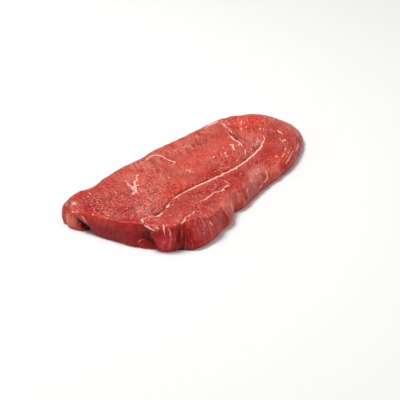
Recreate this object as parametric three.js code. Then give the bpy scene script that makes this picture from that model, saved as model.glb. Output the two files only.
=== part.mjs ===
// A raw cross rib steak: one boneless slice of beef lying on its cut face.
// Millimetres, +Z up. The origin is the middle of the footprint, on the surface
// the slice lies on. +X runs along the slice to its thin rounded end, and +Y
// runs across it, away from the thick front corner.
import * as THREE from 'three';

// ---------------------------------------------------------------- thickness

const SLAB = 20.5; // thickness over most of the slice

// Where the slice is thicker or thinner than the slab: a soft swell of the given
// rise, at its full size at (x, y) and gone about one reach further out.
const SWELLS = [
  { name: 'front corner', x: -106, y: -46, reachX: 34, reachY: 32, rise: 3.2 },
  { name: 'folded tip', x: -136, y: 46, reachX: 24, reachY: 24, rise: -2.6 },
  { name: 'front edge', x: 52, y: -53, reachX: 80, reachY: 17, rise: -7.5 },
  { name: 'thin end', x: 136, y: -12, reachX: 44, reachY: 50, rise: -5.5 },
  { name: 'eye muscle', x: -20, y: 22, reachX: 70, reachY: 24, rise: 0.9 },
  { name: 'front strip', x: -50, y: -42, reachX: 52, reachY: 12, rise: 0.9 },
];

// The white seam between the two main muscles, seen from above, and the valley
// that it lies in: wide on the eye side, narrow on the front side.
const SEAM = [
  [-113.5, -15.5], [-105, -24], [-97, -23.2], [-86, -20], [-70, -14.3], [-46, -15.3],
  [-20, -19.9], [8, -24.3], [33, -23.6], [54, -20.4], [70.8, -15.7], [78, -8],
];
const SEAM_DEPTH = 1.7;
const SEAM_EYE_SIDE = 7;
const SEAM_FRONT_SIDE = 5;
const SEAM_FADE = 22; // the valley runs out over this length at both ends

// --------------------------------------------------------------------- rims

// How the side is rounded. foot: how far the underside's edge lies inside the
// widest outline. crest: how far inside it the flat of the top begins. square:
// 2 is an elliptic round, more is a squarer shoulder. waist: the height of the
// widest outline, as a share of the thickness.
const RIMS = {
  thinEnd: { foot: 2, crest: 24, square: 1.8, waist: 0.3 },
  farShoulder: { foot: 2, crest: 18, square: 1.9, waist: 0.32 },
  shoulder: { foot: 2, crest: 12, square: 2.0, waist: 0.35 },
  backEdge: { foot: 2, crest: 6, square: 2.5, waist: 0.45 },
  tip: { foot: 3, crest: 8, square: 2.3, waist: 0.4 },
  cutWall: { foot: 3, crest: 4, square: 3.4, waist: 0.4 },
  leaningWall: { foot: 2.2, crest: 8, square: 2.4, waist: 0.3 },
  flap: { foot: 1.5, crest: 6, square: 2.2, waist: 0.3 },
  corner: { foot: 2, crest: 12, square: 1.2, waist: 0.25 },
  bulge: { foot: 2.5, crest: 7, square: 1.4, waist: 0.25 },
  thinFront: { foot: 1.5, crest: 7, square: 1.5, waist: 0.3 },
};

// The widest outline, anticlockwise from the thin end, with the rim that each
// landmark has. fine marks the stretches with folds, which get closer points.
const OUTLINE = [
  { x: 137, y: 4, rim: 'thinEnd' },
  { x: 135, y: 22, rim: 'thinEnd' },
  { x: 127, y: 34, rim: 'thinEnd' },
  { x: 112, y: 40.5, rim: 'farShoulder' },
  { x: 99, y: 46, rim: 'shoulder' },
  { x: 91, y: 47.5, rim: 'shoulder' },
  { x: 83, y: 46.4, rim: 'backEdge' },
  { x: 75.5, y: 47.2, rim: 'backEdge' }, // the strip of fat on the back edge
  { x: 67, y: 48.1, rim: 'backEdge' },
  { x: 43, y: 50.5, rim: 'backEdge' },
  { x: 15, y: 53.5, rim: 'backEdge' },
  { x: -7, y: 57, rim: 'backEdge' },
  { x: -24, y: 56.5, rim: 'backEdge' },
  { x: -50, y: 60, rim: 'backEdge' },
  { x: -75, y: 60, rim: 'backEdge' },
  { x: -93, y: 58.5, rim: 'backEdge' },
  { x: -106, y: 63, rim: 'backEdge' },
  { x: -120, y: 64, rim: 'tip' },
  { x: -132.5, y: 59, rim: 'tip', fine: true },
  { x: -136, y: 49, rim: 'tip', fine: true },
  { x: -135.5, y: 38, rim: 'tip', fine: true },
  { x: -133.5, y: 27, rim: 'cutWall', fine: true },
  { x: -132, y: 12, rim: 'cutWall' },
  { x: -130, y: -1, rim: 'cutWall', fine: true },
  { x: -128.5, y: -14, rim: 'leaningWall', fine: true },
  { x: -125.5, y: -26, rim: 'leaningWall', fine: true },
  { x: -121, y: -37, rim: 'flap', fine: true },
  { x: -116, y: -46, rim: 'flap', fine: true },
  { x: -110, y: -55, rim: 'corner', fine: true },
  { x: -102, y: -61.5, rim: 'corner', fine: true },
  { x: -91, y: -64.5, rim: 'corner', fine: true },
  { x: -76, y: -65, rim: 'bulge' },
  { x: -61, y: -63, rim: 'bulge', fine: true },
  { x: -47, y: -59.5, rim: 'bulge', fine: true },
  { x: -31, y: -54, rim: 'bulge', fine: true },
  { x: -16, y: -53.5, rim: 'thinFront', fine: true },
  { x: 2, y: -52, rim: 'thinFront' },
  { x: 28, y: -49.5, rim: 'thinFront' },
  { x: 53, y: -49, rim: 'shoulder' },
  { x: 73, y: -47, rim: 'shoulder' },
  { x: 88, y: -42.5, rim: 'shoulder' },
  { x: 104, y: -36.5, rim: 'farShoulder' },
  { x: 122.5, y: -26.5, rim: 'thinEnd' },
  { x: 133.5, y: -11.5, rim: 'thinEnd' },
];

// Folds in the side, each by the outline point that it is nearest to. depth goes
// in, or out where it is negative. before and after are its widths clockwise and
// anticlockwise of that point. It is deepest at height z, fades over the height
// reachZ, and moves lean mm anticlockwise for each mm of height.
const FOLDS = [
  {
    name: 'hollow under the tip', x: -133.5, y: 28,
    depth: 9, before: 3.5, after: 4.5, z: 4.5, reachZ: 6.5, lean: -1.15,
  },
  {
    name: 'crease round the tip', x: -132, y: 54,
    depth: 1.8, before: 3, after: 3, z: 9, reachZ: 16, lean: 0,
  },
  {
    name: 'recess beside the flap', x: -120, y: -34,
    depth: 6.5, before: 12, after: 2.5, z: 10, reachZ: 7.5, lean: -0.55,
  },
  {
    name: 'corner of the flap', x: -121, y: -31,
    depth: -2, before: 3, after: 8, z: 16, reachZ: 5, lean: 0,
  },
  {
    name: 'flap', x: -117, y: -42,
    depth: -1.5, before: 5, after: 5, z: 7, reachZ: 14, lean: 0,
  },
  {
    name: 'recess under the corner', x: -109.5, y: -52,
    depth: 6.5, before: 5, after: 9, z: 10, reachZ: 9, lean: 0,
  },
  {
    name: 'crease between bulges', x: -61, y: -63,
    depth: 1.5, before: 5, after: 5, z: 10, reachZ: 18, lean: 0,
  },
  {
    name: 'front column', x: -48, y: -59.5,
    depth: -2, before: 9, after: 9, z: 9, reachZ: 12, lean: 0,
  },
  {
    name: 'crease in the front', x: -33, y: -54,
    depth: 2.4, before: 4, after: 4, z: 8, reachZ: 10, lean: 0.5,
  },
  {
    name: 'low tag at the foot', x: -41, y: -57,
    depth: -1.4, before: 2.5, after: 3, z: 0, reachZ: 2.5, lean: 0,
  },
  {
    name: 'second column', x: -14, y: -51,
    depth: -1.2, before: 8, after: 9, z: 7, reachZ: 9, lean: 0,
  },
  {
    name: 'step where the columns end', x: 14, y: -50,
    depth: 1.2, before: 3, after: 5, z: 6, reachZ: 9, lean: 0.8,
  },
];

// --------------------------------------------------------------------- mesh

const COARSE_STEP = 5.4; // spacing of the points along the outline
const FINE_STEP = 3;
const LOWER_ROWS = 3; // rows of faces from the foot to the waist
const UPPER_ROWS = 7; // from the waist to the crest
const TOP_ROWS = 18; // from the crest to the middle of the top
const UNDER_ROWS = 2; // on the underside
const STRETCH = 0.75; // below 1 the inner rows of the top keep more of their length

const curveOf = (points, closed) =>
  new THREE.CatmullRomCurve3(
    points.map(([x, y]) => new THREE.Vector3(x, y, 0)),
    closed,
    'centripetal',
  );

const bell = (t) => Math.exp(-t * t);
const power = (value, exponent) => Math.pow(Math.max(value, 0), exponent);

// Signed distance from the seam, positive on the eye side, and how much of the
// valley's depth is left there.
const seamLine = curveOf(SEAM, false).getSpacedPoints(120);
const seamLength = curveOf(SEAM, false).getLength();

function seamAt(x, y) {
  let best = { gap: Infinity, side: 0, along: 0 };
  for (let i = 1; i < seamLine.length; i++) {
    const a = seamLine[i - 1];
    const b = seamLine[i];
    const run = Math.hypot(b.x - a.x, b.y - a.y);
    const [ux, uy] = [(b.x - a.x) / run, (b.y - a.y) / run];
    const t = THREE.MathUtils.clamp((x - a.x) * ux + (y - a.y) * uy, 0, run);
    const gap = Math.hypot(x - a.x - ux * t, y - a.y - uy * t);
    if (gap < best.gap) {
      const side = Math.sign(ux * (y - a.y) - uy * (x - a.x));
      best = { gap, side, along: ((i - 1) * seamLength) / (seamLine.length - 1) + t };
    }
  }
  return best;
}

function thicknessAt(x, y) {
  let height = SLAB;
  for (const swell of SWELLS) {
    const [u, v] = [(x - swell.x) / swell.reachX, (y - swell.y) / swell.reachY];
    height += swell.rise * bell(Math.hypot(u, v));
  }
  const { gap, side, along } = seamAt(x, y);
  const width = side > 0 ? SEAM_EYE_SIDE : SEAM_FRONT_SIDE;
  const end = Math.min(along, seamLength - along) / SEAM_FADE;
  return height - SEAM_DEPTH * bell(gap / width) * THREE.MathUtils.smoothstep(end, 0, 1);
}

// The outline's samples: place, inward normal, rim and distance along it.
function outlineSamples() {
  const curve = curveOf(OUTLINE.map((mark) => [mark.x, mark.y]), true);
  const samples = [];
  OUTLINE.forEach((mark, i) => {
    const next = OUTLINE[(i + 1) % OUTLINE.length];
    const gap = Math.hypot(next.x - mark.x, next.y - mark.y);
    const steps = Math.ceil(gap / (mark.fine ? FINE_STEP : COARSE_STEP));
    for (let step = 0; step < steps; step++) {
      const part = step / steps;
      const point = curve.getPoint((i + part) / OUTLINE.length);
      const rim = {};
      for (const key of Object.keys(RIMS.thinEnd)) {
        const ease = THREE.MathUtils.smoothstep(part, 0, 1);
        rim[key] = THREE.MathUtils.lerp(RIMS[mark.rim][key], RIMS[next.rim][key], ease);
      }
      samples.push({ x: point.x, y: point.y, rim });
    }
  });
  const count = samples.length;
  let along = 0;
  samples.forEach((sample, i) => {
    const [a, b] = [samples[(i + count - 2) % count], samples[(i + 2) % count]];
    const run = Math.hypot(b.x - a.x, b.y - a.y);
    sample.inward = [-(b.y - a.y) / run, (b.x - a.x) / run];
    sample.along = along;
    const next = samples[(i + 1) % count];
    along += Math.hypot(next.x - sample.x, next.y - sample.y);
  });
  return { samples, length: along };
}

// How far the folds push the side in, at a sample and a height.
function foldDepth(sample, z, folds, length) {
  let depth = 0;
  for (const fold of folds) {
    let offset = sample.along - fold.along - fold.lean * z;
    offset -= length * Math.round(offset / length);
    const width = offset < 0 ? fold.before : fold.after;
    depth += fold.depth * bell(offset / width) * bell((z - fold.z) / fold.reachZ);
  }
  return depth;
}

// A ring of points for each row, from the foot up the side to the crest.
function sideRings({ samples, length }) {
  const nearest = (fold) =>
    samples.reduce((best, sample) => {
      const gap = Math.hypot(sample.x - fold.x, sample.y - fold.y);
      return gap < best.gap ? { gap, along: sample.along } : best;
    }, { gap: Infinity });
  const folds = FOLDS.map((fold) => ({ ...fold, along: nearest(fold).along }));
  const rings = [];
  for (let row = 0; row <= LOWER_ROWS + UPPER_ROWS; row++) {
    const lower = row < LOWER_ROWS;
    const part = lower ? 1 - row / LOWER_ROWS : (row - LOWER_ROWS) / UPPER_ROWS;
    const angle = (part * Math.PI) / 2;
    rings.push(samples.map((sample) => {
      const { foot, crest, square, waist } = sample.rim;
      const inset = (lower ? foot : crest) * (1 - power(Math.cos(angle), 2 / square));
      const full = thicknessAt(
        sample.x + sample.inward[0] * inset,
        sample.y + sample.inward[1] * inset,
      );
      const rise = power(Math.sin(angle), 2 / square);
      const z = full * (lower ? waist * (1 - rise) : waist + (1 - waist) * rise);
      const fade = lower ? 1 : 1 - THREE.MathUtils.smoothstep(part, 0.6, 1);
      const push = inset + fade * foldDepth(sample, z, folds, length);
      return [sample.x + sample.inward[0] * push, sample.y + sample.inward[1] * push, z];
    }));
  }
  return rings;
}

// Rings that shrink from the given one towards the middle of the slice.
function innerRings(edge, rows, heightAt) {
  const rings = [];
  for (let row = 1; row < rows; row++) {
    const scale = 1 - row / rows;
    rings.push(edge.map(([edgeX, edgeY]) => {
      const x = edgeX * power(scale, STRETCH);
      const y = edgeY * scale;
      return [x, y, heightAt(x, y)];
    }));
  }
  return rings;
}

function steakGeometry() {
  const side = sideRings(outlineSamples());
  const crest = side[side.length - 1];
  const rings = [
    ...innerRings(side[0], UNDER_ROWS, () => 0).reverse(),
    ...side,
    ...innerRings(crest, TOP_ROWS, thicknessAt),
  ];
  const around = side[0].length;
  const positions = rings.flat(2);
  const underMiddle = rings.length * around;
  const topMiddle = underMiddle + 1;
  positions.push(0, 0, 0, 0, 0, thicknessAt(0, 0));

  const index = [];
  for (let i = 0; i < around; i++) {
    const next = (i + 1) % around;
    index.push(underMiddle, next, i);
    for (let row = 0; row + 1 < rings.length; row++) {
      const [a, b] = [row * around + i, row * around + next];
      const [c, d] = [b + around, a + around];
      index.push(a, b, c, a, c, d);
    }
    const last = (rings.length - 1) * around;
    index.push(last + i, last + next, topMiddle);
  }
  const geometry = new THREE.BufferGeometry();
  geometry.setAttribute('position', new THREE.Float32BufferAttribute(positions, 3));
  geometry.setIndex(index);
  geometry.computeVertexNormals();
  return geometry;
}

// ------------------------------------------------------------------- object

const meat = new THREE.MeshStandardMaterial({
  name: 'raw beef',
  color: 0xb5403c,
  roughness: 0.42,
  metalness: 0,
});

const steak = new THREE.Mesh(steakGeometry(), meat);
steak.name = 'steak';

const crossRibSteak = new THREE.Group();
crossRibSteak.name = 'cross rib steak';
crossRibSteak.add(steak);

export default crossRibSteak;
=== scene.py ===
"""A raw cross rib steak: one boneless slice of beef, lying on its cut face.

The slice is worked out in millimetres from its outline, the way its side is rounded and
the folds in it, and made into one mesh of even small faces. Fine relief, fat lines and
colours are then laid on that mesh, and the material adds what is finer still.
+X runs along the slice to its thin end, +Y across it, away from the thick front corner.
"""
import math

import bpy
import numpy as np
from mathutils import Matrix, Vector, noise
from mathutils.bvhtree import BVHTree


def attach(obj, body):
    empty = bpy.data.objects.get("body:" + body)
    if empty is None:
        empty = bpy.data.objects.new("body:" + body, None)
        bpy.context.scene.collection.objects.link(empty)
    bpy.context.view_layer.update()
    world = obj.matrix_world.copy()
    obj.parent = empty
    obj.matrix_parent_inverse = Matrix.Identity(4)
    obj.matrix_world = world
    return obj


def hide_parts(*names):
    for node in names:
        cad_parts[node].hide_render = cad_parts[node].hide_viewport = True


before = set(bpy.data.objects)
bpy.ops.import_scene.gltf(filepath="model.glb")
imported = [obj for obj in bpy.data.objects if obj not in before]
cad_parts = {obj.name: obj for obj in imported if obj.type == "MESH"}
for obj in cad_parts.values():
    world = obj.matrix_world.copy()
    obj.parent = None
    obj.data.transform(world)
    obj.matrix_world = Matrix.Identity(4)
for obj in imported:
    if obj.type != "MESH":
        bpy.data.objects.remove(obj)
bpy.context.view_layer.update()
MM = 0.001  # metres in a millimetre

# ---------------------------------------------------------------------- camera

# The camera of the photo. The render repeats it, and the lines on the surface are read
# with it.
PHOTO_SIZE = 400  # pixels across and down
CAMERA_PLACE = Vector((-1.01323, -0.70717, 0.67621))
CAMERA_AHEAD = Vector((0.71302, 0.50206, -0.48943)).normalized()
CAMERA_ROLL = math.radians(0.786)
CAMERA_LENS = 139.62  # mm
SENSOR_WIDTH = 36  # mm


def camera_turn():
    """The directions right, up and back of the camera, as the columns of a matrix."""
    right = CAMERA_AHEAD.cross(Vector((0, 0, 1))).normalized()
    turn = Matrix((right, right.cross(CAMERA_AHEAD), -CAMERA_AHEAD)).transposed()
    return turn @ Matrix.Rotation(CAMERA_ROLL, 3, "Z")


def seen_at(surface, across, down):
    """The place in mm on the surface that the photo shows at this pixel."""
    right, up = across - PHOTO_SIZE / 2, PHOTO_SIZE / 2 - down
    ahead = CAMERA_LENS * PHOTO_SIZE / SENSOR_WIDTH
    ray = camera_turn() @ Vector((right, up, -ahead))
    return np.array(surface.ray_cast(CAMERA_PLACE / MM, ray)[0])


# ------------------------------------------------------------------------ form

SLAB = 20.5  # thickness over most of the slice

# Where the slice is thicker or thinner: name, middle x and y, reach along x and y, rise.
SWELLS = [
    ("front corner", -106, -46, 34, 32, 3.2),
    ("folded tip", -136, 46, 24, 24, -2.6),
    ("front edge", 52, -53, 80, 17, -7.5),
    ("thin end", 136, -12, 44, 50, -5.5),
    ("eye muscle", -20, 22, 70, 24, 0.9),
    ("front strip", -50, -42, 52, 12, 0.9),
]

# The seam between the two main muscles, and the valley that it lies in.
SEAM = [
    (-113.5, -15.5), (-105, -24), (-97, -23.2), (-86, -20), (-70, -14.3), (-46, -15.3),
    (-20, -19.9), (8, -24.3), (33, -23.6), (54, -20.4), (70.8, -15.7), (78, -8),
]
SEAM_DEPTH = 1.7
SEAM_EYE_SIDE = 7
SEAM_FRONT_SIDE = 5
SEAM_FADE = 22

# How the side is rounded: inset of the foot, inset of the crest, squareness, and the
# height of the widest outline as a share of the thickness.
RIMS = {
    "thin end": (2, 24, 1.8, 0.3),
    "far shoulder": (2, 18, 1.9, 0.32),
    "shoulder": (2, 12, 2.0, 0.35),
    "back edge": (2, 6, 2.5, 0.45),
    "tip": (3, 8, 2.3, 0.4),
    "cut wall": (3, 4, 3.4, 0.4),
    "leaning wall": (2.2, 8, 2.4, 0.3),
    "flap": (1.5, 6, 2.2, 0.3),
    "corner": (2, 12, 1.2, 0.25),
    "bulge": (2.5, 7, 1.4, 0.25),
    "thin front": (1.5, 7, 1.5, 0.3),
}

# The widest outline, anticlockwise from the thin end: x, y and the rim there.
OUTLINE = [
    (137, 4, "thin end"), (135, 22, "thin end"), (127, 34, "thin end"),
    (112, 40.5, "far shoulder"), (99, 46, "shoulder"), (91, 47.5, "shoulder"),
    (83, 46.4, "back edge"), (75.5, 47.2, "back edge"), (67, 48.1, "back edge"),
    (43, 50.5, "back edge"), (15, 53.5, "back edge"), (-7, 57, "back edge"),
    (-24, 56.5, "back edge"), (-50, 60, "back edge"), (-75, 60, "back edge"),
    (-93, 58.5, "back edge"), (-106, 63, "back edge"),
    (-120, 64, "tip"), (-132.5, 59, "tip"), (-136, 49, "tip"), (-135.5, 38, "tip"),
    (-133.5, 27, "cut wall"), (-132, 12, "cut wall"), (-130, -1, "cut wall"),
    (-128.5, -14, "leaning wall"), (-125.5, -26, "leaning wall"),
    (-121, -37, "flap"), (-116, -46, "flap"),
    (-110, -55, "corner"), (-102, -61.5, "corner"), (-91, -64.5, "corner"),
    (-76, -65, "bulge"), (-61, -63, "bulge"), (-47, -59.5, "bulge"), (-31, -54, "bulge"),
    (-16, -53.5, "thin front"), (2, -52, "thin front"), (28, -49.5, "thin front"),
    (53, -49, "shoulder"), (73, -47, "shoulder"), (88, -42.5, "shoulder"),
    (104, -36.5, "far shoulder"), (122.5, -26.5, "thin end"), (133.5, -11.5, "thin end"),
]

# Folds in the side: name, the outline point that it is nearest to, depth (out where it
# is negative), widths clockwise and anticlockwise of that point, the height where it is
# deepest, the height over which it fades, and how far it moves along for each mm of height.
FOLDS = [
    ("hollow under the tip", -133.5, 28, 9, 3.5, 4.5, 4.5, 6.5, -1.15),
    ("crease round the tip", -132, 54, 1.8, 3, 3, 9, 16, 0),
    ("recess beside the flap", -120, -34, 6.5, 12, 2.5, 10, 7.5, -0.55),
    ("corner of the flap", -121, -31, -2, 3, 8, 16, 5, 0),
    ("flap", -117, -42, -1.5, 5, 5, 7, 14, 0),
    ("recess under the corner", -109.5, -52, 6.5, 5, 9, 10, 9, 0),
    ("crease between bulges", -61, -63, 1.5, 5, 5, 10, 18, 0),
    ("front column", -48, -59.5, -2, 9, 9, 9, 12, 0),
    ("crease in the front", -33, -54, 2.4, 4, 4, 8, 10, 0.5),
    ("low tag at the foot", -41, -57, -1.4, 2.5, 3, 0, 2.5, 0),
    ("second column", -14, -51, -1.2, 8, 9, 7, 9, 0),
    ("step where the columns end", 14, -50, 1.2, 3, 5, 6, 9, 0.8),
]

OUTLINE_STEP = 1.0  # spacing of the points along the outline
LOWER_ROWS, UPPER_ROWS = 8, 18  # rows of faces below and above the widest outline
TOP_ROWS, UNDER_ROWS = 70, 12
STRETCH = 0.75  # below 1 the inner rows of the top keep more of their length
FACE_SIZE = 0.865  # of the even mesh that the rows are turned into


def bell(t):
    return np.exp(-np.square(t))


def smooth_step(value, low, high):
    share = np.clip((value - low) / (high - low), 0, 1)
    return share * share * (3 - 2 * share)


def curve_through(points, counts, closed=False):
    """A centripetal Catmull-Rom curve, with counts[i] samples from point i to the next."""
    points = np.array(points, float)
    if closed:
        knots = [points[-1], *points, points[0], points[1]]
    else:
        knots = [2 * points[0] - points[1], *points, 2 * points[-1] - points[-2]]
    samples = []
    for i, count in enumerate(counts):
        before, start, end, after = knots[i:i + 4]
        d0, d1, d2 = (
            np.linalg.norm(b - a) ** 0.5
            for a, b in ((before, start), (start, end), (end, after))
        )
        leave = ((start - before) / d0 - (end - before) / (d0 + d1)) * d1 + end - start
        arrive = ((after - end) / d2 - (after - start) / (d1 + d2)) * d1 + end - start
        t = (np.arange(count) / count)[:, None]
        square = 3 * (end - start) - 2 * leave - arrive
        cube = 2 * (start - end) + leave + arrive
        samples.append(start + leave * t + square * t**2 + cube * t**3)
    if not closed:
        samples.append(points[-1:])
    return np.concatenate(samples)


def near_line(places, line):
    """For each place: its distance from the line of points, the side of the line that it
    is on seen from above (1 is left), and how far along the line it is, from 0 to 1."""
    runs = np.linalg.norm(np.diff(line, axis=0), axis=1)
    starts = np.concatenate([[0], np.cumsum(runs)])
    gap = np.full(len(places), np.inf)
    side = np.zeros(len(places))
    along = np.zeros(len(places))
    for a, b, run, start in zip(line[:-1], line[1:], runs, starts):
        ahead = (b - a) / run
        offset = places - a
        t = np.clip(offset @ ahead, 0, run)
        distance = np.linalg.norm(offset - t[:, None] * ahead, axis=1)
        closer = distance < gap
        gap[closer] = distance[closer]
        side[closer] = np.sign(ahead[0] * offset[:, 1] - ahead[1] * offset[:, 0])[closer]
        along[closer] = ((start + t) / starts[-1])[closer]
    return gap, side, along


SEAM_CURVE = curve_through(SEAM, [12] * (len(SEAM) - 1))
SEAM_LENGTH = np.linalg.norm(np.diff(SEAM_CURVE, axis=0), axis=1).sum()


def thickness(x, y):
    x, y = np.asarray(x, float), np.asarray(y, float)
    height = np.full(x.shape, SLAB)
    for _, middle_x, middle_y, reach_x, reach_y, rise in SWELLS:
        far = np.hypot((x - middle_x) / reach_x, (y - middle_y) / reach_y)
        height += rise * bell(far)
    gap, side, along = near_line(np.stack([x, y], 1), SEAM_CURVE)
    width = np.where(side > 0, SEAM_EYE_SIDE, SEAM_FRONT_SIDE)
    end = np.minimum(along, 1 - along) * SEAM_LENGTH / SEAM_FADE
    return height - SEAM_DEPTH * bell(gap / width) * smooth_step(end, 0, 1)


def outline_samples():
    """Places along the widest outline, their inward directions, rims and distances."""
    places = np.array([mark[:2] for mark in OUTLINE], float)
    rims = np.array([RIMS[mark[2]] for mark in OUTLINE])
    runs = np.linalg.norm(np.roll(places, -1, 0) - places, axis=1)
    counts = np.ceil(runs / OUTLINE_STEP).astype(int)
    ring = curve_through(places, counts, closed=True)
    ease = smooth_step(np.concatenate([np.arange(n) / n for n in counts]), 0, 1)[:, None]
    first = np.repeat(np.arange(len(OUTLINE)), counts)
    rim = rims[first] * (1 - ease) + rims[(first + 1) % len(OUTLINE)] * ease
    reach = 6  # the direction is taken over this many points on each side
    ahead = np.roll(ring, -reach, 0) - np.roll(ring, reach, 0)
    ahead /= np.linalg.norm(ahead, axis=1)[:, None]
    inward = np.stack([-ahead[:, 1], ahead[:, 0]], 1)
    steps = np.linalg.norm(np.roll(ring, -1, 0) - ring, axis=1)
    return ring, inward, rim, np.cumsum(steps) - steps, steps.sum()


RING, INWARD, RIM, ALONG, ROUND = outline_samples()


def outline_place(x, y):
    """The distance along the outline of the point of it that is nearest to x, y."""
    return ALONG[np.argmin(np.hypot(RING[:, 0] - x, RING[:, 1] - y))]


def fold_depth(along, z):
    """How far the folds push the side in, at a distance along the outline and a height."""
    depth = np.zeros(along.shape)
    for _, x, y, deep, before, after, middle_z, reach_z, lean in FOLDS:
        offset = along - outline_place(x, y) - lean * z
        offset -= ROUND * np.round(offset / ROUND)
        width = np.where(offset < 0, before, after)
        depth += deep * bell(offset / width) * bell((z - middle_z) / reach_z)
    return depth


def side_row(part, lower):
    """One ring of points round the side. part is 0 at the widest outline and 1 at the
    foot or at the crest."""
    foot, crest, square, waist = RIM.T
    angle = part * math.pi / 2
    inset = (foot if lower else crest) * (1 - max(math.cos(angle), 0) ** (2 / square))
    inner = RING + INWARD * inset[:, None]
    rise = math.sin(angle) ** (2 / square)
    share = waist * (1 - rise) if lower else waist + (1 - waist) * rise
    z = thickness(*inner.T) * share
    fade = 1 if lower else 1 - smooth_step(part, 0.6, 1)
    push = inset + fade * fold_depth(ALONG, z)
    return np.column_stack([RING + INWARD * push[:, None], z])


def inner_rows(edge, rows, height_at):
    """Rings that shrink from the edge towards the middle of the slice."""
    rings = []
    for row in range(1, rows):
        scale = 1 - row / rows
        x, y = edge[:, 0] * scale**STRETCH, edge[:, 1] * scale
        rings.append(np.column_stack([x, y, height_at(x, y)]))
    return rings


def slice_rows():
    lower = [side_row(1 - i / LOWER_ROWS, True) for i in range(LOWER_ROWS)]
    upper = [side_row(i / UPPER_ROWS, False) for i in range(UPPER_ROWS + 1)]
    under = inner_rows(lower[0], UNDER_ROWS, lambda x, y: np.zeros(x.shape))
    top = inner_rows(upper[-1], TOP_ROWS, thickness)
    return [*reversed(under), *lower, *upper, *top]


def slice_mesh(rings):
    """A closed mesh over the rings, with a middle point below and above."""
    around = len(rings[0])
    middle = thickness([0.0], [0.0])[0]
    places = np.concatenate([*rings, [[0, 0, 0], [0, 0, middle]]])
    i = np.arange(around)
    after = (i + 1) % around
    faces = []
    for row in range(len(rings) - 1):
        a, b = row * around + i, row * around + after
        faces += np.stack([a, b, b + around, a + around], 1).tolist()
    last = (len(rings) - 1) * around
    faces += np.stack([np.full(around, len(places) - 2), after, i], 1).tolist()
    faces += np.stack([last + i, last + after, np.full(around, len(places) - 1)], 1).tolist()
    mesh = bpy.data.meshes.new("slice rows")
    mesh.from_pydata((places * MM).tolist(), [], faces)
    return mesh


def even_mesh(mesh):
    """The same surface in faces of one size."""
    rough = bpy.data.objects.new("slice rows", mesh)
    bpy.context.scene.collection.objects.link(rough)
    remesh = rough.modifiers.new("even", "REMESH")
    remesh.mode = "VOXEL"
    remesh.voxel_size = FACE_SIZE * MM
    graph = bpy.context.evaluated_depsgraph_get()
    made = bpy.data.meshes.new_from_object(rough.evaluated_get(graph))
    bpy.data.objects.remove(rough)
    bpy.data.meshes.remove(mesh)
    return made


# ---------------------------------------------------------------------- relief

FIBRES_FROM = (-237, -257)  # the fibres of the cut face fan out from this far place


def noise_at(places, size, seed):
    """A smooth random value from about -1 to 1, in lumps of the given size in mm."""
    return np.array([noise.noise(place) for place in (places / size + seed).tolist()])


def along_fibres(places):
    """The places measured along the fibres of the cut face, across them and upwards."""
    x, y = places[:, 0] - FIBRES_FROM[0], places[:, 1] - FIBRES_FROM[1]
    far = math.hypot(*FIBRES_FROM)
    return np.column_stack([np.hypot(x, y), np.arctan2(y, x) * far, places[:, 2]])


def along_side(places, wall):
    """The places of the side measured round the slice and upwards."""
    ring = np.concatenate([RING[::2], RING[:1]])
    round_at = np.zeros(len(places))
    on_side = wall > 0
    round_at[on_side] = near_line(places[on_side, :2], ring)[2] * ROUND
    return np.column_stack([round_at, np.zeros(len(places)), places[:, 2]])


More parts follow.
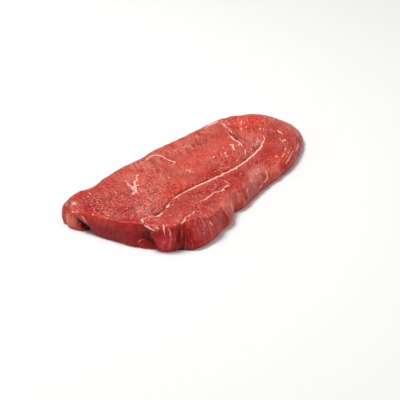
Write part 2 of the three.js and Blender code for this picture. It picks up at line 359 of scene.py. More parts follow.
# Lines read on the photo: name, kind, how far it stands up in mm, and its points.
# A point is a pixel across and down the photo, then half width in mm and strength.
# Lines of the kind slit are dented and darkened: painted shade where a slit, gap or cleft lies in
# shade, and in a few places dark streaks of the meat.
LINES = [
    ("seam over the side", "fat", 0.35, [
        (154, 230.8, 0.8, 0.85), (151, 229, 1.1, 1), (146, 226, 1.1, 1), (143, 222, 1.2, 1),
        (142.5, 219.5, 1.1, 0.95), (145.5, 218.5, 1, 0.8), (151, 217, 0.9, 0.75),
        (157, 216.5, 1.3, 0.9), (160, 215, 1.4, 1), (163, 213, 1, 0.85), (165, 211, 0.7, 0.7),
        (166.4, 208.5, 0.8, 0.75),
    ]),
    ("seam", "fat", 0.35, [
        (166.4, 208.5, 0.9, 0.85), (167.5, 206.5, 1.2, 1.05), (168.8, 204, 0.9, 0.8),
        (170.8, 201.5, 0.8, 0.7), (174.5, 198.5, 0.9, 0.8), (179, 195.2, 0.9, 0.85),
        (187, 191.3, 1, 0.95), (195, 187.5, 1.15, 1.1), (206, 182, 1.2, 1.15), (222, 174.7, 1.2, 1.15),
        (236, 167.7, 1.2, 1.15), (250, 158, 1.2, 1.15), (255, 153.5, 1.2, 1.15),
        (258.5, 150, 1.1, 1.15), (260.5, 147, 1, 1.1), (262.7, 143.5, 0.85, 1.05),
        (264, 140.5, 0.75, 1), (264.8, 138.3, 0.65, 0.95), (263, 135.7, 0.6, 0.85),
        (261.3, 134, 0.5, 0.65),
    ]),
    ("seam fork", "fat", 0.1, [
        (264.8, 138.8, 0.6, 0.85), (266.3, 137.3, 0.6, 0.85), (267.6, 136, 0.5, 0.65),
    ]),
    ("gap under the seam", "slit", -1, [
        (143.8, 225, 0.5, 0.7), (147, 228, 0.8, 1), (150, 230.4, 0.9, 1), (153, 232, 0.7, 0.8),
    ]),
    ("loop inside the seam's end", "fat", 0.1, [
        (144.5, 221.5, 0.6, 0.65), (147.5, 220, 0.8, 0.75), (150.5, 219, 0.7, 0.7),
        (153, 220.5, 0.5, 0.55),
    ]),
    ("second line", "fat", 0.2, [
        (182.5, 205, 0.5, 0.5), (188.8, 204.4, 0.6, 0.55), (195, 202.5, 0.6, 0.6), (205, 200, 0.8, 0.9),
        (209.5, 197, 0.9, 0.95), (214, 193, 0.8, 0.85), (219.5, 191.5, 0.9, 0.95), (223, 190, 0.9, 1),
        (223.5, 188.5, 0.8, 0.9), (227, 186.5, 0.9, 0.95), (229, 184.7, 0.8, 0.9),
        (226, 182, 0.7, 0.85), (224, 180, 0.6, 0.7),
    ]),
    ("third line", "fat", 0.15, [
        (181, 223.8, 0.9, 0.9), (183.5, 221.5, 1, 0.9), (185.5, 218, 0.8, 0.75), (188.5, 216, 1, 0.9),
        (192, 213.5, 0.9, 0.85), (196.5, 210, 0.7, 0.8),
    ]),
    ("cluster stem", "fat", 0.2, [
        (139.5, 175.6, 0.8, 0.85), (137.6, 175.2, 0.9, 0.9), (136.8, 177.5, 0.9, 0.95),
        (136.6, 180.2, 0.9, 0.95), (134.2, 182.2, 1.1, 1.05), (134.6, 185.6, 1.4, 1.05),
        (134, 188.5, 1.15, 1), (135.6, 191, 0.8, 1),
    ]),
    ("cluster side", "fat", 0.1, [
        (138.6, 184.8, 1, 0.95), (136.5, 185.8, 1.1, 1), (136.5, 188.5, 0.8, 0.9),
    ]),
    ("cluster branch", "fat", 0.1, [
        (125.8, 181, 0.6, 0.8), (128.5, 184.9, 0.9, 0.95), (131, 186.2, 1.1, 1), (132.8, 188, 1.2, 1),
        (134, 189.5, 1, 1),
    ]),
    ("cluster foot", "fat", 0.1, [
        (135.6, 191.6, 1, 1), (133.4, 193, 0.8, 0.95), (132.2, 194.8, 0.9, 0.9),
    ]),
    ("cluster toe", "fat", 0.1, [
        (135.8, 189.5, 1, 1), (137, 192, 0.8, 0.95), (138.6, 193.7, 0.8, 0.9),
    ]),
    ("cluster knot", "fat", 0.1, [
        (136.8, 178.2, 0.9, 0.9), (138, 179.6, 0.7, 0.8),
    ]),
    ("back curve", "fat", 0.1, [
        (139.5, 163.5, 0.8, 0.6), (145, 160.5, 1.1, 0.65), (150.2, 156.8, 1.7, 0.7),
        (155.5, 155.2, 2, 0.72), (160.5, 156, 1.8, 0.75), (166, 158.6, 1.2, 0.75),
        (170.5, 161, 0.9, 0.85), (174.5, 161.6, 0.8, 0.85), (173, 164.5, 0.7, 0.7),
        (170, 166.5, 0.6, 0.6),
    ]),
    ("web under the back curve", "fat", 0.05, [
        (167, 161.3, 0.6, 0.55), (168.5, 163, 0.7, 0.65), (171.5, 166.8, 0.7, 0.6),
        (175, 168.5, 0.6, 0.5),
    ]),
    ("right of the back curve", "fat", 0.1, [
        (186.5, 169.5, 0.7, 0.85), (189, 170.5, 0.8, 0.95), (190.5, 172.3, 0.7, 0.9),
        (193.5, 172.6, 0.6, 0.85),
    ]),
    ("far back", "fat", 0.05, [
        (181.4, 146.8, 0.7, 0.8), (184.3, 147.5, 0.8, 0.85), (185, 145.7, 0.8, 0.85),
        (188.6, 146, 0.8, 0.85), (191, 147.5, 0.6, 0.75), (194.3, 148.9, 0.5, 0.6),
    ]),
    ("beside the slit", "fat", 0.15, [
        (231.1, 136.4, 1, 1), (233.5, 138.8, 1.4, 1.1), (235.7, 140.7, 1.3, 1.1),
        (239.3, 142.9, 1.2, 1.05), (242.9, 146, 0.7, 0.85), (244.6, 148.6, 0.7, 0.8),
        (245.5, 152, 0.8, 0.8), (245.2, 156, 0.6, 0.65), (244, 159.5, 0.5, 0.55),
    ]),
    ("branch beside the slit", "fat", 0.1, [
        (235.7, 140.7, 1, 0.95), (239.3, 142.9, 1, 0.95), (238.6, 145.4, 0.8, 0.9),
    ]),
    ("left of the slit", "fat", 0.1, [
        (230, 145, 1, 0.9), (232.6, 144.9, 1, 1), (232.9, 147.5, 1.1, 1.05), (234.6, 150.4, 0.7, 0.9),
    ]),
    ("curl at the right", "fat", 0.05, [
        (242, 120.5, 0.8, 0.8), (241, 123, 0.9, 0.8), (240, 126, 0.6, 0.6), (241, 129, 0.7, 0.75),
        (243, 132.5, 0.6, 0.7),
    ]),
    ("line over the step", "fat", 0.1, [
        (265.5, 170.5, 1, 0.9), (267.2, 174, 0.9, 0.9), (267.5, 178, 0.8, 0.9),
        (264.5, 181.5, 0.8, 0.85), (261.5, 185.5, 0.8, 0.8), (258.5, 190, 0.7, 0.6),
    ]),
    ("beside the slit's end", "fat", 0.1, [
        (219, 122.5, 0.7, 0.8), (223, 125, 0.7, 0.75), (227, 128.5, 0.5, 0.6), (231, 132, 0.5, 0.55),
    ]),
    ("over the slit's end", "fat", 0.1, [
        (222, 121.8, 0.6, 0.75), (226, 125.5, 0.7, 0.75), (230, 130, 0.7, 0.75),
        (234, 134.5, 0.6, 0.65),
    ]),
    ("right of the slit's end", "fat", 0.1, [
        (225.5, 120.5, 0.6, 0.7), (228, 122.5, 0.8, 0.8), (230.5, 124, 0.6, 0.7),
    ]),
    ("pale line on the tip", "fat", 0.1, [
        (70.5, 211, 0.7, 0.65), (72.5, 212, 0.8, 0.7), (76, 212.5, 0.8, 0.65),
    ]),
    ("pale rim of the tip", "fat", 0, [
        (72, 198, 1, 0.65), (74, 196.3, 0.9, 0.6),
    ]),
    ("shadowed recess", "slit", 0, [
        (145, 229, 3, 0.35), (148, 233, 4, 0.5), (151, 237.5, 4.5, 0.55), (154, 242, 4, 0.5),
        (156, 246, 3, 0.4),
    ]),
    ("lip beside the hollow", "fat", 0.2, [
        (81.3, 215.5, 0.7, 0.55), (84, 218.8, 0.9, 0.75), (86.8, 222.3, 0.8, 0.65),
        (89.5, 225.5, 0.5, 0.45),
    ]),
    ("flap streak", "fat", 0.1, [
        (163.8, 225, 0.8, 0.8), (164, 227.5, 1.1, 1), (163.6, 230, 0.9, 0.9), (165, 236, 0.6, 0.6),
    ]),
    ("flap streak", "fat", 0.1, [
        (169, 229, 0.8, 0.6), (170.5, 234, 0.9, 0.65), (171.5, 240, 0.7, 0.55),
    ]),
    ("flap streak", "fat", 0.1, [
        (165.5, 238, 0.6, 0.6), (164, 242, 0.7, 0.65), (163, 246, 0.6, 0.6),
    ]),
    ("flap streak", "fat", 0.1, [
        (169.5, 243, 0.6, 0.6), (169.8, 247, 0.7, 0.65),
    ]),
    ("edge of the flap", "fat", 0.1, [
        (154, 228.5, 0.7, 0.65), (156.5, 227.5, 0.8, 0.7), (158, 229.5, 0.6, 0.6),
    ]),
    ("thread on the cut wall", "fat", 0.05, [
        (136.5, 242.5, 0.5, 0.55), (139, 240.5, 0.6, 0.65), (142, 239, 0.6, 0.65),
        (145, 239, 0.5, 0.55),
    ]),
    ("nick in the crest", "slit", -0.4, [
        (106.8, 216.2, 0.5, 0.6), (109, 216.5, 0.6, 0.8), (111, 216.4, 0.5, 0.6),
    ]),
    ("bulge streak", "fat", 0.1, [
        (210, 221, 0.8, 0.85), (211.3, 223.5, 0.9, 0.85), (212.8, 226, 0.7, 0.7),
    ]),
    ("bulge streak", "fat", 0.1, [
        (203.2, 229, 0.6, 0.6), (204.2, 233, 0.8, 0.65), (205, 236.5, 0.6, 0.6),
    ]),
    ("bulge streak", "fat", 0.1, [
        (198, 226.5, 0.7, 0.65), (199.5, 231, 0.6, 0.6),
    ]),
    ("bulge streak", "fat", 0.1, [
        (199, 220, 0.7, 0.6), (200.5, 226, 0.6, 0.55),
    ]),
    ("dark bulge streak", "slit", -0.3, [
        (205.3, 230, 0.8, 0.6), (206.5, 234.5, 0.9, 0.7), (206.5, 236, 0.7, 0.6),
    ]),
    ("streak at the thin end", "fat", 0, [
        (281, 158, 0.7, 0.6), (284, 154, 0.8, 0.65), (286, 151.5, 0.6, 0.6),
    ]),
    ("streak at the thin end", "fat", 0, [
        (284, 160, 0.7, 0.6), (288, 155, 0.8, 0.65), (290, 150, 0.6, 0.6),
    ]),
    ("streak at the thin end", "fat", 0, [
        (289, 158, 0.7, 0.6), (292, 153, 0.8, 0.6), (293.5, 148, 0.6, 0.55),
    ]),
    ("streak at the rim", "fat", 0, [
        (298, 143, 0.6, 0.6), (299.5, 147, 0.7, 0.65), (299.8, 151, 0.6, 0.6),
    ]),
    ("dark streak at the thin end", "slit", -0.3, [
        (279, 155, 0.7, 0.4), (282, 152, 0.8, 0.5), (284, 148, 0.7, 0.4),
    ]),
    ("dark streak at the rim", "slit", -0.3, [
        (292, 160, 0.8, 0.4), (295, 155, 0.9, 0.5), (296, 150, 0.7, 0.4),
    ]),
    ("streak at the rim", "fat", 0, [
        (298.1, 141.3, 0.6, 0.6), (297.5, 147.5, 0.8, 0.75), (295, 152.5, 0.6, 0.6),
    ]),
    ("streak at the rim", "fat", 0, [
        (291.3, 155, 0.6, 0.6), (287.5, 161.3, 0.8, 0.7), (284.4, 165.5, 0.6, 0.6),
    ]),
    ("streak at the rim", "fat", 0, [
        (283.1, 154.4, 0.6, 0.55), (279.4, 161.3, 0.8, 0.65), (276.3, 167, 0.6, 0.55),
    ]),
    ("dark streak at the rim", "slit", -0.3, [
        (293.8, 142.5, 0.6, 0.5), (291.9, 148.8, 0.8, 0.65), (290, 153.8, 0.6, 0.5),
    ]),
    ("dark streak at the rim", "slit", -0.3, [
        (288.8, 163, 0.6, 0.5), (285.5, 166, 0.9, 0.6), (282.5, 168.5, 0.6, 0.5),
    ]),
    ("curl beyond the seam", "fat", 0, [
        (281.9, 136.3, 0.6, 0.65), (283.1, 142.5, 0.7, 0.75), (286.3, 143.8, 0.6, 0.65),
    ]),
    ("dark streak beyond the seam", "slit", -0.3, [
        (272.5, 126.3, 0.6, 0.5), (276.3, 131.3, 0.9, 0.65), (278.1, 133.8, 0.6, 0.5),
    ]),
    ("arc at the thin end", "fat", 0, [
        (277.3, 130.2, 0.7, 0.85), (279.5, 132, 0.9, 1), (282.5, 134.5, 0.6, 0.8),
    ]),
    ("second arc", "fat", 0, [
        (279.6, 138.6, 0.9, 0.9), (281.5, 140.8, 0.7, 0.85), (284, 143.3, 0.6, 0.8),
    ]),
    ("side of the front", "fat", 0, [
        (247.5, 188, 0.6, 0.6), (248, 194, 0.7, 0.6), (247, 200, 0.6, 0.5),
    ]),
    ("slit", "slit", -0.8, [
        (238.5, 142, 0.5, 0.5), (237.5, 139.6, 0.9, 1), (234.5, 136.5, 1, 1.1),
        (231.4, 133.2, 0.9, 0.95), (230, 131, 0.6, 0.7), (227, 127, 0.6, 0.7), (223.1, 121.9, 0.5, 0.5),
    ]),
    ("slit beside the fat", "slit", -0.5, [
        (232.5, 131.9, 0.5, 0.5), (237, 137.5, 0.7, 0.75), (240.5, 141.5, 0.7, 0.75),
        (244, 146, 0.6, 0.7), (245.6, 148.8, 0.5, 0.5),
    ]),
    ("second slit", "slit", -0.5, [
        (240.5, 139, 0.5, 0.5), (237.5, 134, 0.7, 0.8), (233.5, 128.5, 0.5, 0.5),
    ]),
    ("groove in the tip", "slit", -0.9, [
        (69.6, 201, 0.7, 0.6), (69.2, 203.5, 1.1, 1.05), (68.8, 206.5, 1.1, 0.65),
        (67.5, 210, 1.2, 0.5), (67, 217, 1, 0.3),
    ]),
    ("slit beside the seam's left end", "slit", -0.8, [
        (155, 215.8, 0.8, 0.9), (157.5, 214, 1, 1), (159.5, 212.5, 0.7, 0.8),
    ]),
]

# Lines that the photo shows at too flat an angle, or in a deep fold. A point is x, y and
# z, then half width and strength.
PLACED_LINES = [
    ("strip on the back edge", "fat", 0.1, [
        (54, 46, 19.2, 0.8, 0.45), (60, 45.5, 19.2, 1.4, 0.6), (66, 45, 19.5, 2.2, 0.65),
        (72, 44, 19.8, 2.6, 0.68), (77, 43.5, 19.5, 2.2, 0.65), (83, 43.5, 18.8, 1.2, 0.5),
    ]),
    ("inner side of the strip", "fat", 0.1, [
        (52, 43.2, 20.6, 0.7, 0.5), (59, 42.4, 20.6, 1.2, 0.75), (66, 41.5, 20.6, 1.7, 0.85),
        (72, 40.8, 20.6, 1.9, 0.85), (77, 40, 20.6, 1.5, 0.8), (83, 39.2, 20.6, 0.8, 0.6),
    ]),
    ("under the strip", "fat", 0, [
        (62, 48.2, 16, 1.2, 0.45), (68, 47.8, 16.2, 1.9, 0.55), (74, 47, 16.4, 2, 0.58),
        (80, 46.4, 16.2, 1.3, 0.45),
    ]),
    # Painted shade down the cleft beside the tip.
    ("cleft beside the tip", "slit", -0.8, [
        (-133.5, 41.5, 12.5, 0.8, 0.8), (-132.5, 39.5, 10, 1.4, 1), (-130.5, 37, 7.5, 2, 1),
        (-128.5, 34, 5, 2.4, 1), (-127.5, 31, 2.5, 2.4, 1),
    ]),
]

# Short streaks of fat read on the photo, by area: the pixels of both ends, across
# and down, and the half width in mm.
STREAKS = [
    ("left end", [
        (117, 193.5, 113.5, 189.5, 0.5), (92, 196, 88.5, 192, 0.6), (88.5, 197.5, 87.5, 195, 0.6),
        (96, 197, 99, 200.5, 0.6), (99, 200.5, 96, 204, 0.6),
    ]),
    ("middle", [
        (183.3, 146.3, 190.3, 146.5, 0.5), (191.4, 138.2, 197.5, 147.5, 0.5),
        (194.6, 134.3, 198.9, 139.6, 0.5),
    ]),
    ("near the slits", [
        (215, 151, 214, 149, 0.6), (212.5, 159, 213.5, 156, 0.5), (224.6, 153.6, 226, 151.4, 0.9),
        (224.5, 152, 226.2, 154.5, 0.7), (212.5, 157.9, 215, 155.4, 1), (226.4, 156.4, 229.3, 153.9, 1),
        (214.5, 149.5, 214.8, 153, 0.5), (226, 159, 228.5, 153.5, 0.5),
        (208.5, 164.5, 209.5, 162.8, 0.6), (248.5, 152.5, 246, 147, 0.6), (246, 126, 245.5, 129, 0.6),
        (241, 123, 243, 119.5, 0.6), (247.5, 140, 247, 136, 0.5), (218.5, 164.5, 225, 164.5, 0.6),
        (250.5, 134.5, 249.5, 133.5, 0.6), (249, 143.5, 247.5, 141.5, 0.5),
        (222.1, 146.4, 225.7, 149.3, 0.6), (226, 121, 231, 126, 0.5), (222, 121.8, 228.5, 131, 0.5),
    ]),
    ("right", [
        (281, 133, 278.3, 130.5, 0.7), (284.5, 142.5, 284.5, 138.5, 0.6), (281, 139.5, 284, 142.5, 0.7),
        (259, 127.5, 261.5, 131, 0.6), (264, 131, 263, 128, 0.6), (285.5, 147.5, 285.7, 150, 0.8),
        (275.8, 155, 276.5, 158, 0.9),
    ]),
]

# Spots read on the photo: area, kind, and for each its pixel and half width in mm.
SPOTS = [
    ("left end", "fat", [
        (73.5, 203.5, 3), (111, 201.8, 1.1), (96.5, 203.5, 0.9), (93, 214.6, 1), (107.5, 218, 0.8),
        (121.5, 195.8, 1), (104.3, 189.3, 0.8), (90.5, 193.6, 1), (94.8, 194.6, 0.9), (105, 210, 0.9),
        (97.5, 204.5, 0.7),
    ]),
    ("middle", "fat", [
        (131.5, 201.5, 0.8), (143, 189.7, 0.8), (160, 188.6, 0.9), (165.5, 190, 1), (168.8, 177.5, 1),
        (165.5, 175.5, 0.8), (136, 202.5, 0.9), (151.5, 238.2, 0.8), (148.3, 242, 0.7),
        (144, 230.5, 0.7), (180.6, 237.8, 0.7), (181, 231, 0.6), (191.5, 240, 0.6),
    ]),
    ("near the slits", "fat", [
        (208, 207, 1), (208.3, 212, 1), (214.6, 150, 1.1), (235.7, 152.9, 0.9), (205.7, 136.6, 0.8),
        (223.6, 141.8, 0.7), (248.7, 151.5, 0.9), (251.5, 152.5, 0.8), (237, 160.5, 0.9),
        (250.5, 180, 0.9), (252.5, 181, 0.9), (244.5, 186.5, 0.9), (241.5, 128.8, 0.8),
        (246.3, 138.8, 0.8), (245.6, 117.5, 0.8), (241.9, 123.8, 0.9),
    ]),
    ("right", "fat", [
        (284.6, 139.6, 1.2), (259, 165.8, 1), (258.3, 169, 0.9), (257.8, 173.3, 1.1),
        (260.3, 176.5, 0.9), (265.5, 171, 1), (291, 148, 0.9), (258.8, 130.6, 0.8), (261.3, 133.1, 0.8),
        (300, 135, 1),
    ]),
    ("left end", "slit", [
        (96.2, 210, 1.1), (95.4, 205.5, 0.9), (91.5, 193.2, 0.8), (89.4, 195.3, 0.9), (115, 213, 0.7),
        (93.5, 213.3, 0.7),
    ]),
    ("middle", "slit", [
        (192.5, 212.2, 0.8), (125.8, 210, 0.9),
    ]),
    ("near the slits", "slit", [
        (202.5, 231, 0.7),
    ]),
    ("right", "slit", [
        (283.3, 138.8, 0.8), (289.5, 140.5, 1.1), (270, 131.2, 1), (262.5, 132.5, 0.8),
    ]),
]
SPOT_HALF = np.array([0.4, 0.2, 0])  # from the middle of a spot to its end, in mm
# Spots of the kind slit are small pits, dented and darkened as painted shade.
SPOT_LOOKS = {"fat": (0.15, 0.72), "slit": (-0.5, 1)}  # how far it stands up, strength
STREAK_STANDS = 0.1
STREAK_END = 0.6  # half width at the ends, as a share of that in the middle
STREAK_STRENGTHS = (0.55, 0.95, 0.55)

LINE_SAMPLES = 6  # points of the curve from each point of a line to the next
LINE_REACH = 6  # mm beyond which a line changes nothing

SWAY, SWAY_SIZE = 0.9, 5  # how far the lines wander in mm, and in lumps of which size
TREMBLE, TREMBLE_SIZE = 0.45, 2.3
WIDTH_CHANGE, WIDTH_SIZE = 0.45, 4  # how much their width changes along them


def every_line(surface):
    """Each line's kind, how far it stands up, and its points as PLACED_LINES has them."""
    for _, kind, stands, points in LINES:
        yield kind, stands, [(*seen_at(surface, *point[:2]), *point[2:]) for point in points]
    for _, kind, stands, points in PLACED_LINES:
        yield kind, stands, points
    for _, streaks in STREAKS:
        for *pixels, half in streaks:
            start, end = seen_at(surface, *pixels[:2]), seen_at(surface, *pixels[2:])
            marks = (start, (start + end) / 2, end)
            halves = (half * STREAK_END, half, half * STREAK_END)
            rows = zip(marks, halves, STREAK_STRENGTHS)
            yield "fat", STREAK_STANDS, [(*mark, *looks) for mark, *looks in rows]
    for _, kind, spots in SPOTS:
        stands, strength = SPOT_LOOKS[kind]
        for across, down, half in spots:
            place = seen_at(surface, across, down)
            ends = (place - SPOT_HALF, place + SPOT_HALF)
            yield kind, stands, [(*end, half, strength) for end in ends]


def lay_lines(places, normals, surface):
    """What the lines add: fat, and the dark of slits from 0 to 1, which is painted shade in slits, gaps
    and clefts and in a few places dark streaks of the meat; and height in mm.
    """
    fat, dark, height = (np.zeros(len(places)) for _ in range(3))
    sway = SWAY * np.stack([noise_at(places, SWAY_SIZE, seed) for seed in (23.1, 29.3, 31.7)], 1)
    seeds = (43.1, 47.3, 53.7)
    sway += TREMBLE * np.stack([noise_at(places, TREMBLE_SIZE, seed) for seed in seeds], 1)
    steep = 1 - smooth_step(normals[:, 2], 0.6, 0.9)
    off = (sway * normals).sum(1) * steep  # on the side the lines stay on the surface
    places = places + sway - normals * off[:, None]
    spread = 1 + WIDTH_CHANGE * noise_at(places, WIDTH_SIZE, 37.9)
    for kind, stands, points in every_line(surface):
        line = curve_through(points, [LINE_SAMPLES] * (len(points) - 1))
        low, high = line[:, :3].min(0) - LINE_REACH, line[:, :3].max(0) + LINE_REACH
        near = np.flatnonzero(((places > low) & (places < high)).all(1))
        gap, _, along = near_line(places[near], line[:, :3])
        runs = np.linalg.norm(np.diff(line[:, :3], axis=0), axis=1)
        marks = np.concatenate([[0], np.cumsum(runs) / runs.sum()])
        spot = np.interp(along, marks, line[:, 3])
        strength = np.interp(along, marks, line[:, 4])
        body = bell(gap / (spot * spread[near])) * strength
        height[near] += stands * body
        target = fat if kind == "fat" else dark
        target[near] = np.maximum(target[near], body)
    return fat, dark, height


# Where the surface of the cut face is rough, and how: name, middle, reaches, and how
# strongly it is grained along its fibres and gritty all ways.
TEXTURES = [
    ("left end", -108, 6, 34, 34, 0.3, 1.0),
    ("beside the seam", -68, -4, 24, 13, 0.2, 1.1),
    ("below the seam", -66, -28, 44, 9, 0.3, 0.7),
    ("above the seam", -8, -14, 34, 6, 0.4, 1.1),
    ("back left", -70, 38, 34, 22, 0.9, 0.5),
    ("middle", 0, 20, 50, 34, 0.45, 0.32),
    ("right of the middle", 50, 10, 30, 34, 0.4, 0.2),
    ("right", 92, 14, 30, 30, 0.6, 0.5),
    ("below the seam on the right", 45, -34, 45, 12, 0.4, 0.4),
    ("front of the thin end", 88, -32, 26, 12, 0.9, 0.3),
    ("front strip", -30, -44, 40, 10, 0.5, 0.5),
]


def textures_at(x, y):
    """How grained and how gritty the cut face is."""
    total = np.full(len(x), 1e-6)
    grained = np.zeros(len(x))
    gritty = np.zeros(len(x))
    for _, middle_x, middle_y, reach_x, reach_y, grain, grit in TEXTURES:
        share = bell(np.hypot((x - middle_x) / reach_x, (y - middle_y) / reach_y))
        total += share
        grained += share * grain
        gritty += share * grit
    return grained / total, gritty / total


# Where the look of the cut face reaches further over the rim (above 0) or ends sooner:
# x, y, reach in mm and how much.
RIM_SHIFTS = [
    (-132, 24, 14, 0.45), (-129.5, -8, 9, -1.1), (-126, -17, 7, -0.9), (44, -46, 16, 0.3),
]


# Colours of raw beef as they look in plain light, from 0 to 255, and a few that paint shade and light
# on it.
COLOURS = {
    "lean": (188, 70, 56),
    "bright": (210, 60, 38),
    "pale": (206, 102, 86),
    "dark": (172, 44, 40),
    "wall": (158, 6, 16),
    # Dark red that painted shade darkens towards.
    "deep": (72, 8, 13),
    # Near black of painted shadow.
    "painted_shadow": (30, 12, 12),
    "vivid": (202, 48, 54),
    "film": (218, 124, 112),
    "silver": (226, 146, 134),
    # Pale pink of fat flecks, and of painted wet glints.
    "fleck_and_glint": (240, 150, 134),
    # Dark red of painted shade, in pores and between the streaks of the side.
    "crevice_shade": (120, 10, 8),
    # Pale pink of membrane, used in part as painted light.
    "pale_and_lit": (244, 128, 108),
    "fat": (246, 184, 168),
    "warm": (238, 98, 80),
}

# Where the colour differs: name, middle, reaches, colour and how much of it.
TINTS = [
    ("left end", (-106, 6, 20), (30, 30, 9), "dark", 0.95),
    ("back left", (-84, 44, 20), (30, 14, 9), "dark", 0.3),
    ("beside the seam", (-68, -4, 20), (22, 10, 9), "bright", 0.45),
    ("fibrous back", (-56, 34, 20), (20, 16, 9), "pale", 0.6),
    ("middle", (0, 16, 20), (46, 26, 9), "pale", 0.25),
    ("middle glow", (30, 8, 20), (46, 14, 9), "bright", 0.4),
    ("back edge", (20, 44, 20), (60, 8, 9), "pale", 0.25),
    ("right", (96, 16, 20), (18, 20, 9), "bright", 1.0),
    ("back of the right", (84, 36, 19), (10, 8, 9), "pale", 0.45),
    ("thin end", (126, -6, 12), (18, 34, 14), "bright", 0.4),
    # Painted shade: the valley on the upper side of the seam is darkened.
    ("above the seam", (-8, -13.5, 20), (36, 5.5, 9), "dark", 0.85),
    ("right of the slits", (74, -2, 20), (14, 9, 9), "pale", 0.3),
    ("below the seam", (-52, -28, 20), (44, 9, 9), "dark", 0.95),
    ("middle of the front strip", (-56, -33, 21), (36, 10, 9), "wall", 0.35),
    ("below the seam on the right", (46, -31, 19), (48, 9, 9), "dark", 0.95),
    ("below the seam in the middle", (-4, -31, 20), (18, 7, 9), "dark", 0.8),
    ("right of the cluster", (-70, 13, 20), (10, 8, 9), "pale", 0.6),
    ("left of the front strip", (-92, -38, 22), (16, 7, 9), "pale", 0.3),
    ("front strip", (-52, -45, 21), (46, 8, 9), "dark", 0.85),
    ("film at the step", (21, -41.5, 17), (10, 4.5, 7), "silver", 0.75),
    ("left of the step", (3, -38, 19), (14, 6, 7), "dark", 0.6),
    ("film above the seam", (66, -12.5, 20), (8, 3.5, 7), "silver", 0.7),
    # Partly painted highlight: the upper cut wall and its crest are brighter red where the rounded
    # crest catches the light, over the red of the torn meat.
    ("upper cut wall", (-131, 2, 16.5), (6, 26, 4), "vivid", 0.7),
    ("right of the crest", (-123.6, -12.5, 20.8), (4.5, 10, 3.5), "wall", 1.0),
    ("middle of the crest", (-127.6, -4, 20.2), (4, 7, 3), "vivid", 0.9),
    ("left of the crest", (-131.6, 23, 17.5), (6, 13, 4), "warm", 0.8),
    ("torn crest", (-130, 18, 19.5), (4, 12, 3), "bright", 0.8),
    ("beside the pale lip", (-133.3, 30.5, 15.5), (3, 5, 3.5), "bright", 0.8),
    ("top of the flap", (-116, -32, 23), (8, 9, 5), "vivid", 0.5),
    ("red patch on the flap", (-118.8, -26.5, 22), (3, 3, 2.5), "vivid", 0.8),
    ("red patch over the recess", (-109, -38, 23.7), (4.5, 3.5, 3), "vivid", 0.8),
    ("red patch at the corner", (-98, -51.5, 22), (5, 4, 3), "vivid", 0.8),
    ("red patch on the bulge", (-74, -61, 17), (3.5, 3, 4), "vivid", 0.8),
    # Painted highlight on the crests of the flap and the front corner.
    ("pale patch on the flap", (-111, -29, 23), (4, 4.5, 3), "pale", 0.8),
    ("pale patch at the corner", (-102, -42.8, 23.8), (5, 4, 3), "pale", 0.8),
    ("edge of the flap", (-120, -33.5, 20.8), (2, 3, 2.5), "silver", 0.6),
    ("fat on the tip", (-125.6, 51.2, 18.6), (4, 4, 3), "silver", 0.85),
    ("top of the tip", (-123, 36, 19), (14, 18, 6), "wall", 0.95),
    ("side of the tip", (-136, 48, 9), (6, 12, 9), "pale_and_lit", 0.7),
    ("flap", (-118, -42, 13), (6, 7, 14), "vivid", 0.9),
    ("corner", (-97, -62, 12), (10, 6, 12), "vivid", 0.6),
    ("bulge", (-78, -64, 12), (10, 6, 12), "vivid", 0.55),
    # Partly painted light: the front columns are brightened as lit faces, over their pale membrane.
    ("front column", (-39, -54, 13), (18, 7, 13), "pale_and_lit", 0.85),
    # Painted shade: the front side darkens towards its foot, at the columns and along the front foot.
    ("foot of the front column", (-36, -54, 1), (18, 7, 6), "wall", 0.45),
    ("second column", (-18, -51, 13), (10, 5, 8), "pale_and_lit", 0.4),
    ("foot of the second column", (-15, -54, 5), (10, 5, 6), "wall", 0.5),
    ("sheen on the bulge", (-87, -63, 13), (17, 6, 8), "film", 0.2),
    ("right of the cut wall", (-123, -13, 6), (6, 10, 6), "vivid", 0.35),
    ("side beyond the columns", (10, -50, 9), (20, 5, 9), "film", 0.45),
    # Painted contact shade along the front foot.
    ("front foot", (-10, -52, 0), (60, 8, 4), "wall", 0.6),
    # Painted light: the side of the thin end is brightened as if lit from the right front.
    ("side of the thin end", (82, -41, 12), (34, 8, 7), "bright", 0.5),
    ("glow on the thin end's side", (72, -41, 12), (30, 8, 6), "warm", 0.15),
    ("side past the step", (42, -46, 11.5), (17, 6, 7), "warm", 0.85),
    ("right of the seam", (76, -20, 19.4), (9, 8, 6), "dark", 0.9),
    ("beyond the seam", (100, -4, 18), (12, 10, 6), "dark", 0.6),
    ("film at the seam's end", (-103, -5, 21), (9, 6, 6), "film", 0.55),
    ("film left of the seam", (-86, -1, 21), (9, 6, 6), "pale", 0.7),
    ("top of the flap beside the seam", (-116, -23, 22), (7, 6, 4), "dark", 0.7),
    ("right end of the crest", (-119, -14, 22), (5, 5, 3), "dark", 0.6),
    ("side of the flap", (-119, -39, 20), (5, 5, 7), "wall", 0.6),
    ("middle of the cut wall's rim", (-129, 5, 20), (4, 7, 3), "wall", 0.5),
    ("side below the film", (13, -47, 12), (12, 6, 6), "film", 0.4),
    ("left foot of the third line", (-80, -60, 19), (7, 6, 6), "dark", 0.5),
    ("left of the cut wall", (-132, 14, 8), (6, 15, 9), "deep", 0.15),
    # Painted shadow in the hollow under the tip and on the foot under the front corner.
    ("hollow under the tip", (-128.5, 33.5, 5), (5, 6, 6), "painted_shadow", 0.5),
    ("under the front corner", (-108, -50.5, 1), (5, 6, 3.5), "painted_shadow", 0.9),
]


def linear(colour):
    """A colour from 0 to 255 as the linear values that a shader takes."""
    share = np.array(colour, float) / 255
    return np.where(share <= 0.04045, share / 12.92, ((share + 0.055) / 1.055) ** 2.4)


